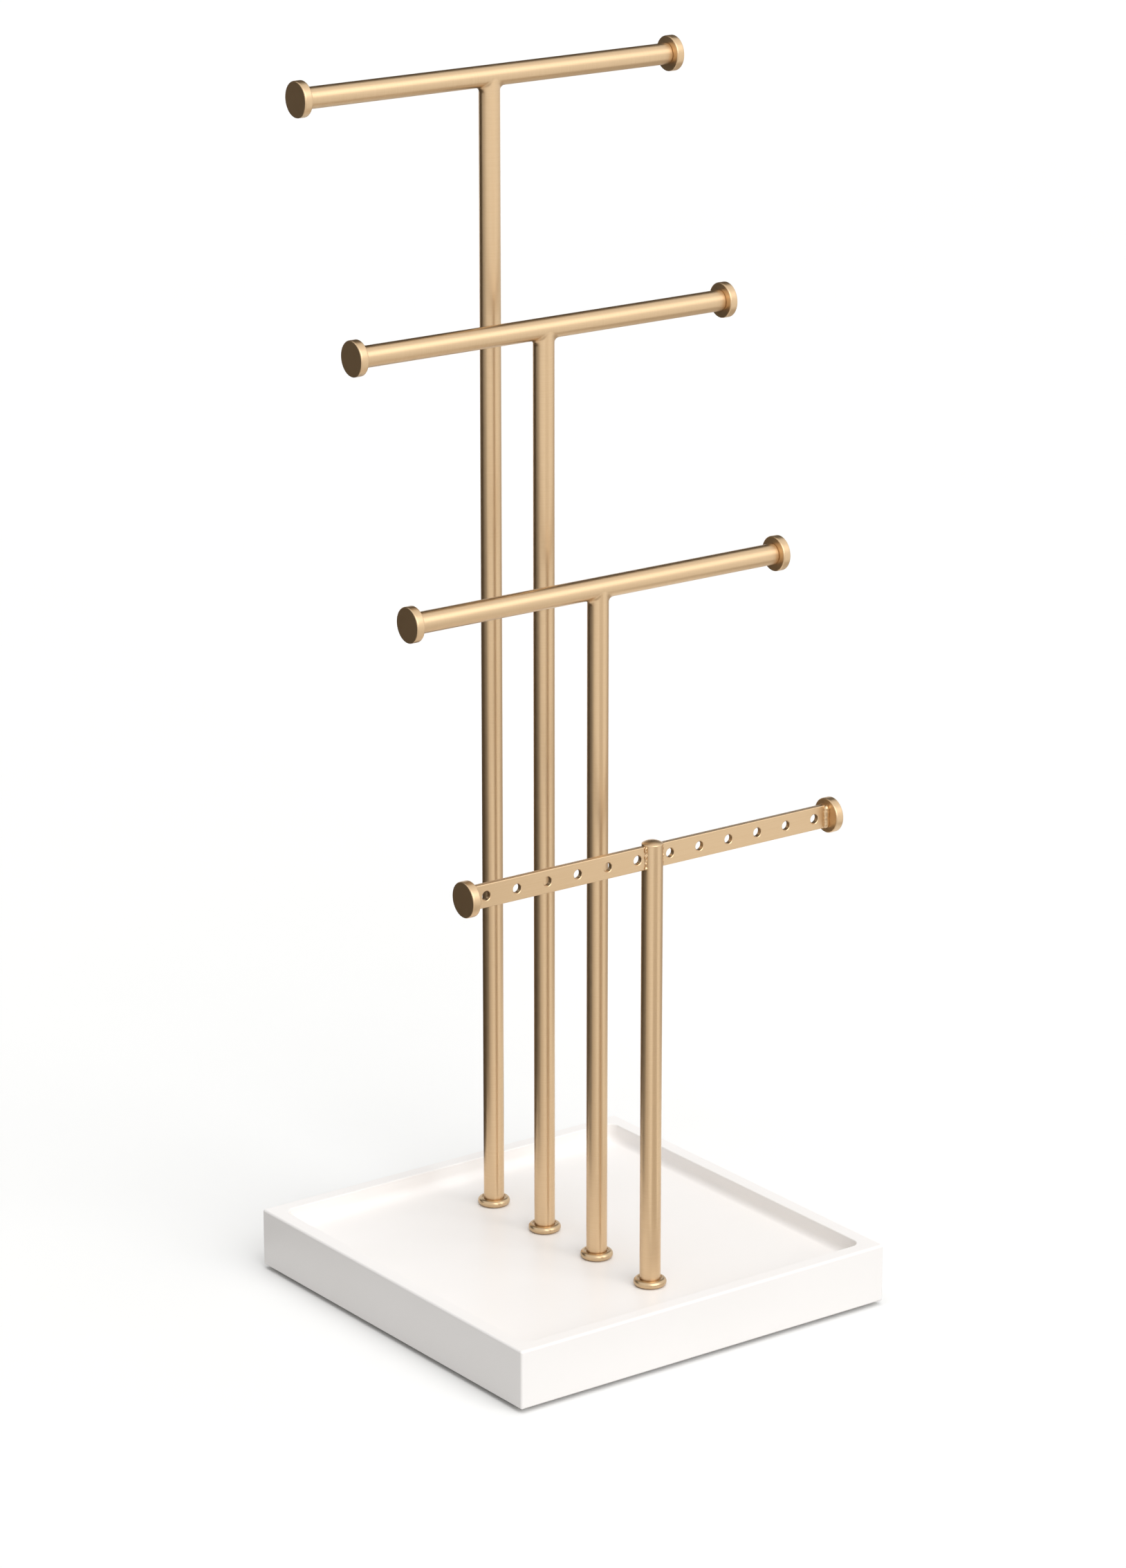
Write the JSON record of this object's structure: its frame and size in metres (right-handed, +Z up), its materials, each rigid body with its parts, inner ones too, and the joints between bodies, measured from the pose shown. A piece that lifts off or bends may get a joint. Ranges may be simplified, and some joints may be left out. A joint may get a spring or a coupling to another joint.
{
  "type": "jewelry tree",
  "caption": "Free-standing jewelry tree: gold T-shaped stands in a row on a square white tray, with round necklace bars and a flat pierced earring bar.",
  "frame": {"origin": "on the ground under the centre of the tray", "axes": "+Z up, +X along the bars to the right, +Y to the back where the tallest stand is"},
  "size_m": [0.1524, 0.1524, 0.4191],
  "materials": {
    "white_lacquer": "white satin lacquer on board",
    "satin_gold": "satin champagne-gold plated steel",
    "polished_gold": "polished gold-plated ring",
    "insert_brass": "turned brass",
    "zinc_steel": "zinc-plated steel",
    "felt": "pressed wool felt"
  },
  "bodies": {
    "base": {"tray": "white_lacquer", "foot_pad_front_left": "felt", "foot_pad_front_right": "felt", "foot_pad_back_left": "felt", "foot_pad_back_right": "felt", "top_washer": "zinc_steel", "upper_washer": "zinc_steel", "middle_washer": "zinc_steel", "earring_washer": "zinc_steel"},
    "top_stand": {"top_post": "satin_gold", "top_bar": "satin_gold", "top_cap_left": "satin_gold", "top_cap_right": "satin_gold", "top_collar": "polished_gold", "top_insert": "insert_brass", "top_screw": "zinc_steel"},
    "upper_stand": {"upper_post": "satin_gold", "upper_bar": "satin_gold", "upper_cap_left": "satin_gold", "upper_cap_right": "satin_gold", "upper_collar": "polished_gold", "upper_insert": "insert_brass", "upper_screw": "zinc_steel"},
    "middle_stand": {"middle_post": "satin_gold", "middle_bar": "satin_gold", "middle_cap_left": "satin_gold", "middle_cap_right": "satin_gold", "middle_collar": "polished_gold", "middle_insert": "insert_brass", "middle_screw": "zinc_steel"},
    "earring_stand": {"earring_post": "satin_gold", "earring_post_plug": "satin_gold", "earring_bar": "satin_gold", "earring_disc_left": "satin_gold", "earring_disc_right": "satin_gold", "earring_collar": "polished_gold", "earring_insert": "insert_brass", "earring_screw": "zinc_steel"}
  },
  "joints": [
    {"name": "top_stand_swivel", "type": "hinge", "parent": "base", "child": "top_stand", "pos_m": [0, 0.045, 0.016], "axis": [0, 0, 1], "continuous": true},
    {"name": "upper_stand_swivel", "type": "hinge", "parent": "base", "child": "upper_stand", "pos_m": [0, 0.015, 0.016], "axis": [0, 0, 1], "range_deg": [-74, 74]},
    {"name": "middle_stand_swivel", "type": "hinge", "parent": "base", "child": "middle_stand", "pos_m": [0, -0.015, 0.016], "axis": [0, 0, 1], "range_deg": [-74, 74]},
    {"name": "earring_stand_swivel", "type": "hinge", "parent": "base", "child": "earring_stand", "pos_m": [0, -0.045, 0.016], "axis": [0, 0, 1], "range_deg": [-79, 79]}
  ]
}
